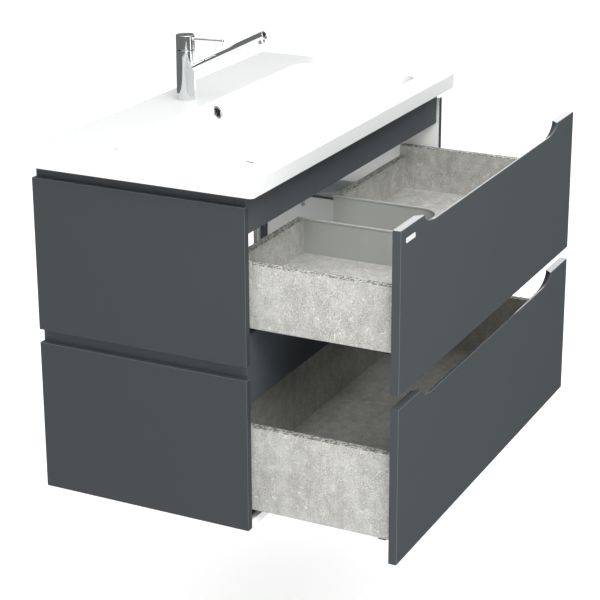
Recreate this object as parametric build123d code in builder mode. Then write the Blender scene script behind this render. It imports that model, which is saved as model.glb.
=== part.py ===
from build123d import *
from math import atan2, cos, radians, sin
import os

# Wall-hung vanity: ceramic basin with a pillar mixer on a two-drawer cabinet.
# X runs across the front, +Y points at the wall and +Z up. The origin lies on the wall
# plane, midway between the two wall plate screws. Both drawers stand open by OPENING.

# ---- driving dimensions, mm ----
BOARD = 16.0            # carcass and drawer board thickness
HALF_W = 486.0          # outer face of the side boards
DEPTH = 476.0           # side boards, from the wall to their front edge
EDGE = 0.8              # softened board edges

CARCASS_TOP = 60.0      # the basin rests here
UPPER_SIDE = (-285.0, 36.0)     # bottom and top of the upper side boards and front
LOWER_SIDE = (-634.0, -313.0)
TOP_RAIL = (-23.0, CARCASS_TOP)
MID_STRIP = (-356.0, -241.0)
MID_RAIL = (-370.0, -228.0)
STRETCHER = (-634.0, -617.0)
RAIL_SETBACK = 6.5      # front rails sit this far behind the side boards' front edge

BASIN_W = 1000.0
BASIN_D = 502.0
BASIN_EDGE = 36.0       # height of the basin's visible edge
BASIN_TOP = CARCASS_TOP + BASIN_EDGE
BOWL_HALF_X = 430.0     # half the bowl's rim
BOWL_HALF_Y = 151.5
BOWL_Y = -290.5         # middle of the bowl
BOWL_FLOOR = -22.0
BOWL_WALL = 13.0
BOWL_LEAN = 50.0        # how far the walls run in from rim to floor

OPENING = 300.0         # how far the drawers are pulled out
FRONT_T = 17.0
FRONT_GAP = 2.0         # front to side boards when a drawer is shut
BOX_HALF_W = 464.0      # outer face of the drawer sides
BOX_LENGTH = 391.0
FLOOR_RECESS = 13.0
UPPER_BOX = (-211.0, -80.0)     # bottom and top of the drawer sides
LOWER_BOX = (-596.0, -417.0)
UPPER_BACK_TOP = -106.0
SCOOP_TOP_HALF = 376.0
SCOOP_FLAT_HALF = 316.0
SCOOP_DEPTH = 21.0
SCOOP_LAND = 3.5        # thickness of the scoop's lip; behind it the board is bevelled

GUARD_HALF_W = 90.0
GUARD_DEPTH = 260.0
GUARD_CORNER = 53.0
GUARD_T = 3.0

RUNNER_LENGTH = 400.0
MID_RUNNER_LENGTH = 380.0
BOX_RUNNER_LENGTH = 376.0

TAP_Y = -74.0
TAP_R = 21.0
TAP_SEAM = BASIN_TOP + 111.0
TAP_TOP = BASIN_TOP + 142.0
SPOUT_RISE = 26.5       # degrees above level
SPOUT_REACH = 216.0     # along the tube
SPOUT_R = 6.8           # at the root; the outer stretch is wider
SPOUT_END_R = 9.3
WASTE_Y = -253.0
PIPE_R = 16.0
OUTLET_Z = -255.0

# ---- derived places ----
INNER = HALF_W - BOARD                  # inner face of the side boards
STRIP_INNER = INNER - BOARD
BOX_INNER = BOX_HALF_W - BOARD
FRONT_BACK_Y = -DEPTH - FRONT_GAP - OPENING     # rear face of an open front
BOX_REAR_Y = FRONT_BACK_Y + BOX_LENGTH
BACK_Y = BOX_REAR_Y - BOARD / 2
RUNNER_REAR_Y = -74.0
SIDES = {"left": -1, "right": 1}

os.makedirs("parts", exist_ok=True)


def save(piece, node):
    """Label one finished piece and write its STEP file."""
    piece.part.label = node
    export_step(piece.part, f"parts/{node}.step")


def block(x, y, z):
    """Add a block between the given (low, high) pairs to the part being built."""
    size = [high - low for low, high in (x, y, z)]
    with Locations(tuple((high + low) / 2 for low, high in (x, y, z))):
        Box(*size)


def board(x, y, z, edge=EDGE):
    """A plain board with softened edges."""
    with BuildPart() as piece:
        block(x, y, z)
        fillet(piece.edges(), edge)
    return piece


def span(side, inner, outer):
    """The (low, high) X pair of a piece between two distances on one side."""
    return tuple(sorted((side * inner, side * outer)))


def tube(plane, outer_r, inner_r, length):
    """A plain tube that starts on a plane and runs along its normal."""
    with BuildPart() as piece:
        with BuildSketch(plane):
            Circle(outer_r)
            Circle(inner_r, mode=Mode.SUBTRACT)
        extrude(amount=length)
    return piece


# ---- carcass boards ----
SIDE_BOARDS = {"upper": UPPER_SIDE, "lower": LOWER_SIDE}
STRIPS = {"top": TOP_RAIL, "mid": MID_STRIP}
SCREW_R = 2.2
SCREW_HEAD_R = 4.2
SCREW_ROWS = {"top": (8.0,), "mid": (-262.0, -336.0)}
SCREW_YS = (-430.0, -280.0, -130.0)
SCREW_BITE = 8.0        # screw length inside the side board

for side_name, side in SIDES.items():
    for level, heights in SIDE_BOARDS.items():
        rows = [z for zs in SCREW_ROWS.values() for z in zs if heights[0] < z < heights[1]]
        with BuildPart() as side_board:
            block(span(side, INNER, HALF_W), (-DEPTH, 0), heights)
            fillet(side_board.edges(), 1.0)
            with BuildSketch(Plane.YZ.offset(side * INNER)):
                with Locations([(y, z) for y in SCREW_YS for z in rows]):
                    Circle(SCREW_R)
            extrude(amount=side * SCREW_BITE, mode=Mode.SUBTRACT)
        save(side_board, f"{level}_side_{side_name}")
    for strip_name, heights in STRIPS.items():
        with BuildPart() as strip:
            block(span(side, STRIP_INNER, INNER), (-DEPTH + RAIL_SETBACK + BOARD, 0), heights)
            fillet(strip.edges(), EDGE)
            with BuildSketch(Plane.YZ.offset(side * STRIP_INNER)):
                with Locations([(y, z) for y in SCREW_YS for z in SCREW_ROWS[strip_name]]):
                    Circle(SCREW_R)
            extrude(amount=side * BOARD, mode=Mode.SUBTRACT)
        save(strip, f"{strip_name}_strip_{side_name}")

rail_front = -DEPTH + RAIL_SETBACK
save(board((-INNER, INNER), (rail_front, rail_front + BOARD), TOP_RAIL), "front_top_rail")
save(board((-INNER, INNER), (rail_front, rail_front + BOARD), MID_RAIL), "front_mid_rail")
save(board((-INNER, INNER), (-DEPTH + 0.5, -DEPTH + 80), STRETCHER), "front_stretcher")
save(board((-INNER, INNER), (-80, 0), STRETCHER), "rear_stretcher")

# The rear top rail stands off the wall and is notched at its ends for the hooks.
NOTCH_INNER = 428.0
with BuildPart() as rear_rail:
    block((-STRIP_INNER, STRIP_INNER), (-34, -18), TOP_RAIL)
    fillet(rear_rail.edges(), EDGE)
    with BuildSketch(Plane.XZ.offset(18)):
        for side in SIDES.values():
            with Locations((side * (NOTCH_INNER + STRIP_INNER) / 2, 12)):
                Rectangle(STRIP_INNER - NOTCH_INNER, 44)
    extrude(amount=BOARD, mode=Mode.SUBTRACT)
save(rear_rail, "rear_top_rail")

with BuildPart() as carcass_screws:
    for side in SIDES.values():
        for zs in SCREW_ROWS.values():
            spots = [(y, z) for y in SCREW_YS for z in zs]
            with BuildSketch(Plane.YZ.offset(side * STRIP_INNER)):
                with Locations(spots):
                    Circle(SCREW_R)
            extrude(amount=side * (BOARD + SCREW_BITE))
            with BuildSketch(Plane.YZ.offset(side * STRIP_INNER)):
                with Locations(spots):
                    Circle(SCREW_HEAD_R)
                    RegularPolygon(2.0, 6, mode=Mode.SUBTRACT)
            extrude(amount=-side * 2.0)
save(carcass_screws, "carcass_screws")

# ---- hanging brackets and wall plates ----
HANGER_X = 436.0
PLATE_T = 2.5
for side_name, side in SIDES.items():
    with BuildPart() as hanger:
        with Locations((side * 441, -62, 10)):
            Box(22, 52, 66)
        fillet(hanger.edges().filter_by(Axis.X), 5)
        with Locations((side * (STRIP_INNER - 1), -77, 10)):
            Box(2, 82, 44)
        # the hook reaches back through the rail's notch and over the plate's lip
        with Locations((side * HANGER_X, -21.5, 15)):
            Box(14, 33, 5)
        with Locations((side * HANGER_X, -6.5, 11.5)):
            Box(14, 3, 8)
        for z in (28, -4):
            with BuildSketch(Plane.XZ.offset(88)):
                with Locations((side * 441, z)):
                    Circle(4)
            extrude(amount=-6, mode=Mode.SUBTRACT)
    save(hanger, f"hanger_{side_name}")

    with BuildPart() as wall_plate:
        with BuildSketch(Plane.XZ):
            with Locations((side * HANGER_X, -4)):
                RectangleRounded(32, 34, 3)
            with Locations((side * HANGER_X, 0)):
                Circle(4, mode=Mode.SUBTRACT)
        extrude(amount=PLATE_T)
        with Locations((side * HANGER_X, -PLATE_T - 0.6, 10.5)):
            Box(24, 1.2, 4)
    save(wall_plate, f"wall_plate_{side_name}")

# ---- basin ----


def bowl_section(z, grow):
    """One rounded rectangle of the bowl at a height; grow widens it all round."""
    run_in = BOWL_LEAN * (BASIN_TOP - z) / (BASIN_TOP - BOWL_FLOOR)
    with Locations((0, BOWL_Y)):
        RectangleRounded(
            2 * (BOWL_HALF_X - run_in + grow),
            2 * (BOWL_HALF_Y - run_in + grow),
            45 + 0.4 * run_in + grow,
        )


lean = atan2(BOWL_LEAN, BASIN_TOP - BOWL_FLOOR)
overflow_z = BASIN_TOP - 24
overflow_y = BOWL_Y + BOWL_HALF_Y - 24 * sin(lean) / cos(lean)
overflow_plane = Plane(
    origin=(0, overflow_y, overflow_z), x_dir=(1, 0, 0), z_dir=(0, -cos(lean), sin(lean))
)
OVERFLOW_R = 12.0
WASTE_R = 22.5

with BuildPart() as basin:
    with BuildSketch(Plane.XY.offset(CARCASS_TOP)):
        with Locations((0, -BASIN_D / 2)):
            Rectangle(BASIN_W, BASIN_D)
    extrude(amount=BASIN_EDGE)
    fillet(basin.edges().filter_by(Axis.Z).group_by(Axis.Y)[0], 12)
    fillet(basin.faces().sort_by(Axis.Z)[-1].edges(), 4)
    fillet(basin.faces().sort_by(Axis.Z)[0].edges(), 2)
    with BuildSketch(Plane.XY.offset(CARCASS_TOP)):
        bowl_section(CARCASS_TOP, BOWL_WALL)
    with BuildSketch(Plane.XY.offset(BOWL_FLOOR - BOWL_WALL)):
        bowl_section(BOWL_FLOOR, BOWL_WALL - 6)
    loft(ruled=True)
    with BuildSketch(Plane.XY.offset(BASIN_TOP)):
        bowl_section(BASIN_TOP, 0)
    with BuildSketch(Plane.XY.offset(BOWL_FLOOR)):
        bowl_section(BOWL_FLOOR, 0)
    loft(ruled=True, mode=Mode.SUBTRACT)
    with BuildSketch(Plane.XY.offset(BASIN_TOP)):
        with Locations((0, TAP_Y)):
            Circle(17.5)
    extrude(amount=-BASIN_EDGE, mode=Mode.SUBTRACT)
    with BuildSketch(Plane.XY.offset(BOWL_FLOOR)):
        with Locations((0, WASTE_Y)):
            Circle(WASTE_R)
    extrude(amount=-BOWL_WALL, mode=Mode.SUBTRACT)
    with BuildSketch(overflow_plane):
        Circle(OVERFLOW_R)
    extrude(amount=-11, mode=Mode.SUBTRACT)
save(basin, "basin")

with BuildPart() as overflow_ring:
    with BuildSketch(overflow_plane):
        Circle(15.2)
        Circle(10.6, mode=Mode.SUBTRACT)
    extrude(amount=1.8)
    fillet(overflow_ring.edges().group_by(SortBy.DISTANCE)[0], 0.6)
    with BuildSketch(overflow_plane):
        Circle(OVERFLOW_R)
        Circle(10.6, mode=Mode.SUBTRACT)
    extrude(amount=-9)
save(overflow_ring, "overflow_ring")

# ---- waste and bottle trap ----
FLANGE_R = 32.0
STEM_R = 4.0
waste_bottom = BOWL_FLOOR - 75
with BuildPart() as waste_body:
    with BuildSketch(Plane.XY.offset(BOWL_FLOOR)):
        with Locations((0, WASTE_Y)):
            Circle(FLANGE_R)
    extrude(amount=2.5)
    fillet(waste_body.faces().sort_by(Axis.Z)[-1].edges(), 1.2)
    with BuildSketch(Plane.XY.offset(BOWL_FLOOR)):
        with Locations((0, WASTE_Y)):
            Circle(WASTE_R)
    extrude(amount=-75)
    with BuildSketch(Plane.XY.offset(BOWL_FLOOR + 2.5)):
        with Locations((0, WASTE_Y)):
            Circle(WASTE_R - 4)
    extrude(amount=-77.5, mode=Mode.SUBTRACT)
    with BuildSketch(Plane.XY.offset(BOWL_FLOOR - 40)):
        with Locations((0, WASTE_Y)):
            Rectangle(2 * WASTE_R - 6, 6)
            Circle(8)
            Circle(STEM_R + 0.08, mode=Mode.SUBTRACT)
    extrude(amount=12)
save(waste_body, "waste_body")

PLUG_R = 30.0
plug_low = BOWL_FLOOR + 3.5
with BuildPart() as waste_plug:
    with BuildSketch(Plane.XY.offset(plug_low)):
        with Locations((0, WASTE_Y)):
            Circle(PLUG_R)
    extrude(amount=4.5)
    fillet(waste_plug.faces().sort_by(Axis.Z)[-1].edges(), 3)
    with BuildSketch(Plane.XY.offset(plug_low)):
        with Locations((0, WASTE_Y)):
            Circle(STEM_R)
    extrude(amount=-52)
save(waste_plug, "waste_plug")

TAIL_TOP = waste_bottom
with BuildPart() as tail_pipe:
    with BuildSketch(Plane.XY.offset(TAIL_TOP)):
        with Locations((0, WASTE_Y)):
            Circle(PIPE_R)
            Circle(PIPE_R - 1.5, mode=Mode.SUBTRACT)
    extrude(amount=-175)
save(tail_pipe, "tail_pipe")

HEAD_R = 31.0
HEAD = (-276.0, -234.0)
with BuildPart() as trap_head:
    with BuildSketch(Plane.XY.offset(HEAD[0])):
        with Locations((0, WASTE_Y)):
            Circle(HEAD_R)
    extrude(amount=HEAD[1] - HEAD[0])
    fillet(trap_head.faces().sort_by(Axis.Z)[-1].edges(), 6)
    with BuildSketch(Plane.XZ.offset(-WASTE_Y)):
        with Locations((0, OUTLET_Z)):
            Circle(PIPE_R + 2)
    extrude(amount=-45)
    with BuildSketch(Plane.XY.offset(HEAD[0])):
        with Locations((0, WASTE_Y)):
            Circle(HEAD_R - 3)
    extrude(amount=HEAD[1] - HEAD[0] - 4, mode=Mode.SUBTRACT)
    with BuildSketch(Plane.XY.offset(HEAD[1])):
        with Locations((0, WASTE_Y)):
            Circle(PIPE_R)
    extrude(amount=-6, mode=Mode.SUBTRACT)
    with BuildSketch(Plane.XZ.offset(-WASTE_Y - 20)):
        with Locations((0, OUTLET_Z)):
            Circle(PIPE_R)
    extrude(amount=-25, mode=Mode.SUBTRACT)
save(trap_head, "trap_head")

with BuildPart() as trap_cup:
    with BuildSketch(Plane.XY.offset(HEAD[0])):
        with Locations((0, WASTE_Y)):
            Circle(HEAD_R)
    extrude(amount=-66)
    fillet(trap_cup.faces().sort_by(Axis.Z)[0].edges(), 12)
    with BuildSketch(Plane.XY.offset(HEAD[0])):
        with Locations((0, WASTE_Y)):
            Circle(HEAD_R - 3)
    extrude(amount=-60, mode=Mode.SUBTRACT)
    with BuildSketch(Plane.XY.offset(HEAD[0])):
        with Locations((0, WASTE_Y)):
            Circle(HEAD_R + 2.5)
            Circle(HEAD_R, mode=Mode.SUBTRACT)
    extrude(amount=-10)
save(trap_cup, "trap_cup")

NUTS = ((BOWL_FLOOR - BOWL_WALL, WASTE_R, 30, -10), (TAIL_TOP + 6, PIPE_R, 26.5, -16))
with BuildPart() as trap_nuts:
    for top, bore_r, outer_r, height in NUTS:
        with BuildSketch(Plane.XY.offset(top)):
            with Locations((0, WASTE_Y)):
                RegularPolygon(outer_r, 8)
                Circle(bore_r, mode=Mode.SUBTRACT)
        extrude(amount=height)
    # the upper half of the tail pipe's nut is screwed over the waste body
    with BuildSketch(Plane.XY.offset(TAIL_TOP + 6)):
        with Locations((0, WASTE_Y)):
            Circle(WASTE_R)
    extrude(amount=-6, mode=Mode.SUBTRACT)
    with BuildSketch(Plane.XY.offset(HEAD[1])):
        with Locations((0, WASTE_Y)):
            RegularPolygon(23, 8)
            Circle(PIPE_R, mode=Mode.SUBTRACT)
    extrude(amount=12)
    with BuildSketch(Plane.XZ.offset(-WASTE_Y - 45)):
        with Locations((0, OUTLET_Z)):
            RegularPolygon(23, 8)
            Circle(PIPE_R, mode=Mode.SUBTRACT)
    extrude(amount=-13)
save(trap_nuts, "trap_nuts")

OUTLET_END = 25.0       # how far the outlet reaches into the wall
OUTLET_GROOVE = 1.5     # seal groove at the wall plane, behind the rosette
outlet_start = WASTE_Y + 32
with BuildPart() as outlet_pipe:
    with BuildSketch(Plane.XZ.offset(-outlet_start)):
        with Locations((0, OUTLET_Z)):
            Circle(PIPE_R)
            Circle(PIPE_R - 1.5, mode=Mode.SUBTRACT)
    extrude(amount=outlet_start - OUTLET_END)
    with BuildSketch(Plane.XZ):
        with Locations((0, OUTLET_Z)):
            Circle(PIPE_R)
            Circle(PIPE_R - 0.5, mode=Mode.SUBTRACT)
    extrude(amount=OUTLET_GROOVE, mode=Mode.SUBTRACT)
save(outlet_pipe, "outlet_pipe")

with BuildPart() as wall_rosette:
    with BuildSketch(Plane.YZ):
        with BuildLine():
            Polyline((0, OUTLET_Z + PIPE_R), (0, OUTLET_Z + 35), (-2, OUTLET_Z + 35))
            ThreePointArc(
                (-2, OUTLET_Z + 35), (-9, OUTLET_Z + 26), (-12, OUTLET_Z + PIPE_R)
            )
            Line((-12, OUTLET_Z + PIPE_R), (0, OUTLET_Z + PIPE_R))
        make_face()
    revolve(axis=Axis((0, 0, OUTLET_Z), (0, 1, 0)))
save(wall_rosette, "wall_rosette")

# ---- tap ----
NECK_R = 12.0
CAP_INNER_R = 17.2
SEAM_GAP = 1.6
with BuildPart() as tap_body:
    with BuildSketch(Plane.XY.offset(BASIN_TOP)):
        with Locations((0, TAP_Y)):
            Circle(TAP_R)
    extrude(amount=TAP_SEAM - SEAM_GAP - BASIN_TOP, taper=0.4)
    fillet(tap_body.faces().sort_by(Axis.Z)[-1].edges(), 0.8)
    with BuildSketch(Plane.XY.offset(TAP_SEAM - SEAM_GAP)):
        with Locations((0, TAP_Y)):
            Circle(NECK_R + 0.05)
    extrude(amount=-22, mode=Mode.SUBTRACT)
save(tap_body, "tap_body")

rise = radians(SPOUT_RISE)
spout_plane = Plane(
    origin=(0, TAP_Y, BASIN_TOP + 62), x_dir=(1, 0, 0), z_dir=(0, -cos(rise), sin(rise))
)
WIDENING = (0.56, 0.66)  # where the tube widens, as shares of its reach
with BuildPart() as tap_spout:
    with BuildSketch(spout_plane):
        Circle(SPOUT_R)
    extrude(amount=SPOUT_REACH * WIDENING[0])
    with BuildSketch(spout_plane.offset(SPOUT_REACH * WIDENING[0])):
        Circle(SPOUT_R)
    with BuildSketch(spout_plane.offset(SPOUT_REACH * WIDENING[1])):
        Circle(SPOUT_END_R)
    loft()
    with BuildSketch(spout_plane.offset(SPOUT_REACH * WIDENING[1])):
        Circle(SPOUT_END_R)
    extrude(amount=SPOUT_REACH * (1 - WIDENING[1]))
    chamfer(tap_spout.faces().sort_by(Axis.Y)[0].edges(), 0.7)
    with BuildSketch(spout_plane.offset(SPOUT_REACH)):
        Circle(SPOUT_END_R - 2.3)
    extrude(amount=-6, mode=Mode.SUBTRACT)
    with BuildSketch(Plane.XY.offset(BASIN_TOP)):
        with Locations((0, TAP_Y)):
            Circle(TAP_R)
    extrude(amount=TAP_SEAM - SEAM_GAP - BASIN_TOP, taper=0.4, mode=Mode.SUBTRACT)
save(tap_spout, "tap_spout")

# The aerator hangs under the spout's end and points at the bowl.
aerator_plane = Plane(
    origin=spout_plane.offset(SPOUT_REACH - 13).origin,
    x_dir=(1, 0, 0),
    z_dir=(0, -sin(rise), -cos(rise)),
)
with BuildPart() as tap_aerator:
    with BuildSketch(aerator_plane.offset(SPOUT_END_R - 1.5)):
        Circle(7.4)
        Circle(5.6, mode=Mode.SUBTRACT)
    extrude(amount=6.5)
    with BuildSketch(aerator_plane.offset(SPOUT_END_R + 0.5)):
        Circle(5.6)
    extrude(amount=1.5)
    with BuildSketch(spout_plane):
        Circle(SPOUT_END_R)
    extrude(amount=SPOUT_REACH, mode=Mode.SUBTRACT)
save(tap_aerator, "tap_aerator")

with BuildPart() as tap_stem:
    with BuildSketch(Plane.XY.offset(TAP_SEAM - SEAM_GAP - 20)):
        with Locations((0, TAP_Y)):
            Circle(NECK_R)
    extrude(amount=SEAM_GAP + 20 + 8)
    fillet(tap_stem.faces().sort_by(Axis.Z)[-1].edges(), 1)
save(tap_stem, "tap_stem")

with BuildPart() as tap_cap:
    with BuildSketch(Plane.XY.offset(TAP_SEAM)):
        with Locations((0, TAP_Y)):
            Circle(TAP_R - 0.8)
    extrude(amount=TAP_TOP - TAP_SEAM)
    fillet(tap_cap.faces().sort_by(Axis.Z)[-1].edges(), 1.6)
    fillet(tap_cap.faces().sort_by(Axis.Z)[0].edges(), 0.6)
    with BuildSketch(Plane.XY.offset(TAP_SEAM)):
        with Locations((0, TAP_Y)):
            Circle(CAP_INNER_R)
    extrude(amount=TAP_TOP - TAP_SEAM - 4, mode=Mode.SUBTRACT)
save(tap_cap, "tap_cap")

LEVER_R = 2.6
lever_rise = radians(1.5)
LEVER_LENGTH = 75.0
lever_plane = Plane(
    origin=(0, TAP_Y - TAP_R + 2.2, TAP_SEAM + 22),
    x_dir=(1, 0, 0),
    z_dir=(0, -cos(lever_rise), sin(lever_rise)),
)
with BuildPart() as tap_lever:
    with BuildSketch(lever_plane):
        Circle(LEVER_R)
    extrude(amount=LEVER_LENGTH - 2)
    with BuildSketch(lever_plane.offset(LEVER_LENGTH - 8)):
        Circle(LEVER_R + 0.9)
    extrude(amount=8)
    fillet(tap_lever.edges().filter_by(GeomType.CIRCLE).group_by(SortBy.RADIUS)[-1], 0.8)
    with BuildSketch(Plane.XY.offset(TAP_SEAM)):
        with Locations((0, TAP_Y)):
            Circle(TAP_R - 0.8)
    extrude(amount=TAP_TOP - TAP_SEAM, mode=Mode.SUBTRACT)
save(tap_lever, "tap_lever")

SHANK_R = 15.0
shank_plane = Plane(origin=(0, TAP_Y, BASIN_TOP), x_dir=(1, 0, 0), z_dir=(0, 0, -1))
save(tube(shank_plane, SHANK_R, 11, 56), "tap_shank")
with BuildPart() as tap_nut:
    with BuildSketch(Plane.XY.offset(CARCASS_TOP)):
        with Locations((0, TAP_Y)):
            Circle(27)
            Circle(SHANK_R, mode=Mode.SUBTRACT)
    extrude(amount=-2)
    with BuildSketch(Plane.XY.offset(CARCASS_TOP - 2)):
        with Locations((0, TAP_Y)):
            RegularPolygon(24, 6)
            Circle(SHANK_R, mode=Mode.SUBTRACT)
    extrude(amount=-9)
save(tap_nut, "tap_nut")

# ---- drawers ----


def scoop_outline(top, grow):
    """The cutting outline of the finger grip; grow widens and deepens it."""
    run = SCOOP_TOP_HALF - SCOOP_FLAT_HALF + grow
    depth = SCOOP_DEPTH + grow
    end = SCOOP_FLAT_HALF + run
    with BuildSketch() as outline:
        with BuildLine():
            EllipticalCenterArc((-SCOOP_FLAT_HALF, top), run, depth, 180, arc_size=90)
            Line((-SCOOP_FLAT_HALF, top - depth), (SCOOP_FLAT_HALF, top - depth))
            EllipticalCenterArc((SCOOP_FLAT_HALF, top), run, depth, 270, arc_size=90)
            Polyline((end, top), (end, top + 2), (-end, top + 2), (-end, top))
        make_face()
    return outline.sketch


def drawer_front(heights):
    """A front board whose top edge is scooped out and bevelled behind as a finger grip."""
    top = heights[1]
    with BuildPart() as front:
        block((-HALF_W, HALF_W), (FRONT_BACK_Y - FRONT_T, FRONT_BACK_Y), heights)
        with BuildSketch(Plane.XZ.offset(-FRONT_BACK_Y)):
            add(scoop_outline(top, 0))
        extrude(amount=FRONT_T, mode=Mode.SUBTRACT)
        with BuildSketch(Plane.XZ.offset(-FRONT_BACK_Y + FRONT_T - SCOOP_LAND)):
            add(scoop_outline(top, 0))
        with BuildSketch(Plane.XZ.offset(-FRONT_BACK_Y)):
            add(scoop_outline(top, FRONT_T - SCOOP_LAND))
        loft(ruled=True, mode=Mode.SUBTRACT)
        chamfer(front.faces().sort_by(Axis.Y)[0].edges(), 1.0)
    return front


def guard_outline(grow):
    """The U outline of the siphon guard, open at the drawer's rear."""
    front_y = BOX_REAR_Y - GUARD_DEPTH - grow
    half = GUARD_HALF_W + grow
    corner = GUARD_CORNER + grow
    with BuildSketch() as outline:
        with BuildLine():
            Line((half, BOX_REAR_Y), (half, front_y + corner))
            RadiusArc((half, front_y + corner), (half - corner, front_y), corner)
            Line((half - corner, front_y), (corner - half, front_y))
            RadiusArc((corner - half, front_y), (-half, front_y + corner), corner)
            Line((-half, front_y + corner), (-half, BOX_REAR_Y))
            Line((-half, BOX_REAR_Y), (half, BOX_REAR_Y))
        make_face()
    return outline.sketch


FLOOR_SCREW_XS = (-350.0, -150.0, 150.0, 350.0)


def drawer_floor(bottom, with_cut_out):
    """The floor board, recessed between the drawer sides."""
    low = bottom + FLOOR_RECESS
    with BuildPart() as floor_board:
        block((-BOX_INNER, BOX_INNER), (FRONT_BACK_Y, BOX_REAR_Y), (low, low + BOARD))
        fillet(floor_board.edges(), 0.5)
        with BuildSketch(Plane.XY.offset(low)):
            with Locations([(x, BACK_Y) for x in FLOOR_SCREW_XS]):
                Circle(SCREW_R)
            if with_cut_out:
                add(guard_outline(0))
        extrude(amount=BOARD, mode=Mode.SUBTRACT)
    return floor_board


def drawer_back(x_pair, bottom, top):
    """A back board standing on the floor, drilled for the floor screws."""
    low = bottom + FLOOR_RECESS + BOARD
    with BuildPart() as back_board:
        block(x_pair, (BOX_REAR_Y - BOARD, BOX_REAR_Y), (low, top))
        fillet(back_board.edges(), 0.5)
        with BuildSketch(Plane.XY.offset(low)):
            with Locations([(x, BACK_Y) for x in FLOOR_SCREW_XS if x_pair[0] < x < x_pair[1]]):
                Circle(SCREW_R)
        extrude(amount=20, mode=Mode.SUBTRACT)
    return back_board


def floor_screws(bottom):
    """The screws that hold the back board from under the floor."""
    low = bottom + FLOOR_RECESS
    spots = [(x, BACK_Y) for x in FLOOR_SCREW_XS]
    with BuildPart() as screws:
        with BuildSketch(Plane.XY.offset(low)):
            with Locations(spots):
                Circle(SCREW_R)
        extrude(amount=BOARD + 20)
        with BuildSketch(Plane.XY.offset(low)):
            with Locations(spots):
                Circle(SCREW_HEAD_R)
                RegularPolygon(2.0, 6, mode=Mode.SUBTRACT)
        extrude(amount=-2.2)
    return screws


def front_clips(bottom):
    """The plastic catches under the floor, with a levelling pad beside each."""
    with BuildPart() as clips:
        for side in SIDES.values():
            with Locations((side * 417.5, FRONT_BACK_Y + 34, bottom - 2.5)):
                Box(19, 52, 11)
            with Locations((side * 456, FRONT_BACK_Y + 24, bottom - 1.6)):
                Box(13, 17, 3.2)
        fillet(clips.edges().filter_by(Axis.Z), 2)
    return clips


def runners(bottom, front_y, length, rects):
    """The left and right member of one runner stage; a rect is (inner, outer, low, high)."""
    with BuildPart() as pair:
        with BuildSketch(Plane.XZ.offset(-front_y)):
            for side in SIDES.values():
                for inner, outer, low, high in rects:
                    with Locations((side * (inner + outer) / 2, bottom + (low + high) / 2)):
                        Rectangle(outer - inner, high - low)
        extrude(amount=-length)
    return pair


# Sections, measured from the drawer sides' bottom edge.
FIXED_SECTION = (
    (468.0, 470.0, -12.0, 18.0),
    (429.0, 470.0, -12.0, -10.4),
    (429.0, 430.6, -12.0, -4.0),
)
MIDDLE_SECTION = (
    (433.0, 434.6, -8.5, 2.0),
    (444.4, 446.0, -8.5, 2.0),
    (433.0, 446.0, -8.5, -6.9),
)
BOX_SECTION = (
    (412.0, 446.0, 11.4, 13.0),
    (444.4, 446.0, 3.0, 13.0),
    (412.0, 413.6, 3.0, 13.0),
)

LEVELS = {
    "upper": (UPPER_SIDE, UPPER_BOX),
    "lower": (LOWER_SIDE, LOWER_BOX),
}
for level, (front_heights, box_heights) in LEVELS.items():
    box_bottom, box_top = box_heights
    save(drawer_front(front_heights), f"{level}_front")
    for side_name, side in SIDES.items():
        x_pair = span(side, BOX_INNER, BOX_HALF_W)
        save(board(x_pair, (FRONT_BACK_Y, BOX_REAR_Y), box_heights, 0.5), f"{level}_box_{side_name}")
    save(drawer_floor(box_bottom, level == "upper"), f"{level}_floor")
    save(floor_screws(box_bottom), f"{level}_screws")
    save(front_clips(box_bottom), f"{level}_clips")
    fixed_y = RUNNER_REAR_Y - RUNNER_LENGTH
    save(runners(box_bottom, fixed_y, RUNNER_LENGTH, FIXED_SECTION), f"{level}_fixed_runners")
    middle_y = -470 - OPENING / 2
    save(runners(box_bottom, middle_y, MID_RUNNER_LENGTH, MIDDLE_SECTION), f"{level}_middle_runners")
    box_y = FRONT_BACK_Y + 2
    save(runners(box_bottom, box_y, BOX_RUNNER_LENGTH, BOX_SECTION), f"{level}_box_runners")

for side_name, side in SIDES.items():
    half_back = drawer_back(span(side, GUARD_HALF_W, BOX_INNER), UPPER_BOX[0], UPPER_BACK_TOP)
    save(half_back, f"upper_back_{side_name}")
save(drawer_back((-BOX_INNER, BOX_INNER), LOWER_BOX[0], LOWER_BOX[1]), "lower_back")

with BuildPart() as siphon_guard:
    with BuildSketch(Plane.XY.offset(UPPER_BOX[0] + FLOOR_RECESS)):
        add(guard_outline(0))
        add(guard_outline(-GUARD_T), mode=Mode.SUBTRACT)
    extrude(amount=UPPER_BACK_TOP + 1 - UPPER_BOX[0] - FLOOR_RECESS)
save(siphon_guard, "siphon_guard")

with BuildPart() as badge:
    with BuildSketch(Plane.XZ.offset(-FRONT_BACK_Y + FRONT_T)):
        with Locations((-442.5, UPPER_SIDE[1] - 24)):
            RectangleRounded(41, 9.5, 1)
    extrude(amount=1.2)
    fillet(badge.faces().sort_by(Axis.Y)[0].edges(), 0.4)
save(badge, "badge")
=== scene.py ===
"""Looks of a wall-hung bathroom vanity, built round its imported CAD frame.

The boards keep their CAD meshes and get melamine, laminate and concrete decor finishes. The
ceramic basin, the mixer, the waste, the trap guard, the runners and the small hardware are
surfaces worked out here with numpy. Everything is in metres in the frame's own axes: X runs
across the front, +Y points at the wall and +Z up.
"""

import logging
import math
from collections.abc import Sequence
from dataclasses import dataclass, replace
from enum import Enum

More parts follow.
